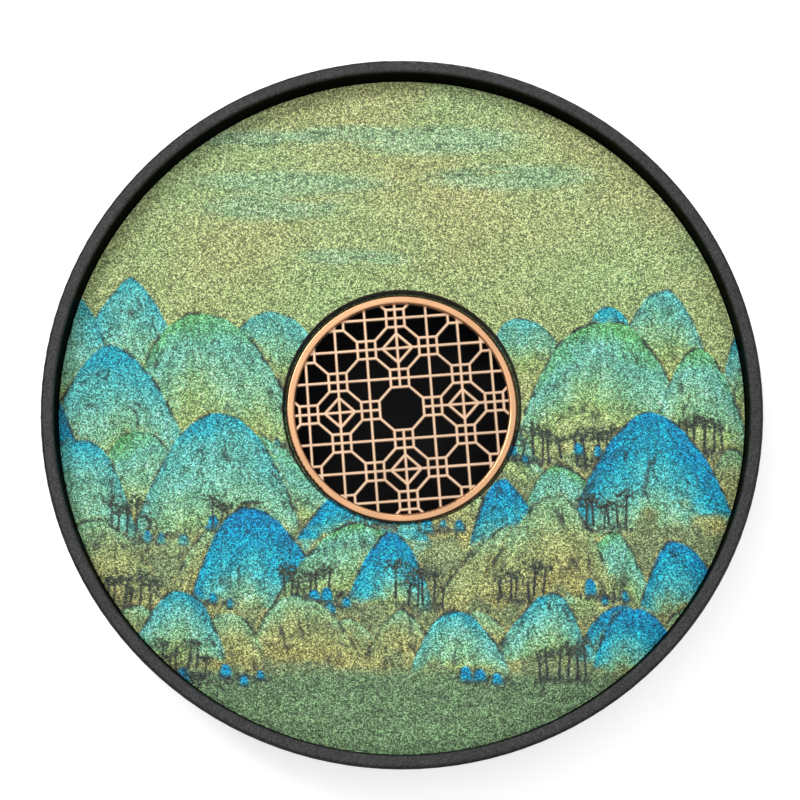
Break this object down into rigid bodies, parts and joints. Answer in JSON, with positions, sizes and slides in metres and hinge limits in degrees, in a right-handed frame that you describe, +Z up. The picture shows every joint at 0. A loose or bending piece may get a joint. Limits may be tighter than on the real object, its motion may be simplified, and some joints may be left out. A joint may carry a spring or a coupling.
{
  "type": "round reservoir tea tray",
  "caption": "Round tea tray with a raised rim, a printed deck over a water reservoir, a central lattice drain grate and a rear hose drain with a stopper.",
  "frame": {"origin": "centre of the plane that the feet stand on", "axes": "+Z up through the middle of the grate, +Y to the rear where the drain is, +X to the right"},
  "size_m": [0.3016, 0.3016, 0.046],
  "materials": {
    "tray_body": "matte, fine leather grain",
    "printed_deck": "matte, sandy, printed blue-green landscape",
    "rose_gold_ring": "satin rose gold",
    "rose_gold_lattice": "satin rose gold",
    "foot_rubber": "matte",
    "cushion_silicone": "satin",
    "drain_plastic": "satin",
    "seal_silicone": "satin"
  },
  "bodies": {
    "base": {"base_tray": "tray_body", "foot_front_left": "foot_rubber", "foot_front_right": "foot_rubber", "foot_rear_left": "foot_rubber", "foot_rear_right": "foot_rubber", "ledge_cushion_front": "cushion_silicone", "ledge_cushion_right": "cushion_silicone", "ledge_cushion_rear": "cushion_silicone", "ledge_cushion_left": "cushion_silicone", "post_cushion_front_left": "cushion_silicone", "post_cushion_front_right": "cushion_silicone", "post_cushion_rear_left": "cushion_silicone", "post_cushion_rear_right": "cushion_silicone", "drain_spout": "drain_plastic", "drain_seal": "seal_silicone", "drain_nut": "drain_plastic"},
    "deck": {"deck_plate": "printed_deck"},
    "grate": {"grate_ring": "rose_gold_ring", "grate_lattice": "rose_gold_lattice"},
    "stopper": {"drain_stopper": "seal_silicone"}
  },
  "joints": [
    {"name": "deck_lift", "type": "slide", "parent": "base", "child": "deck", "axis": [0, 0, 1], "range_m": [0, 0.08]},
    {"name": "grate_lift", "type": "slide", "parent": "deck", "child": "grate", "axis": [0, 0, 1], "range_m": [0, 0.05]},
    {"name": "stopper_pull", "type": "slide", "parent": "base", "child": "stopper", "axis": [0, 1, 0], "range_m": [0, 0.04]}
  ]
}
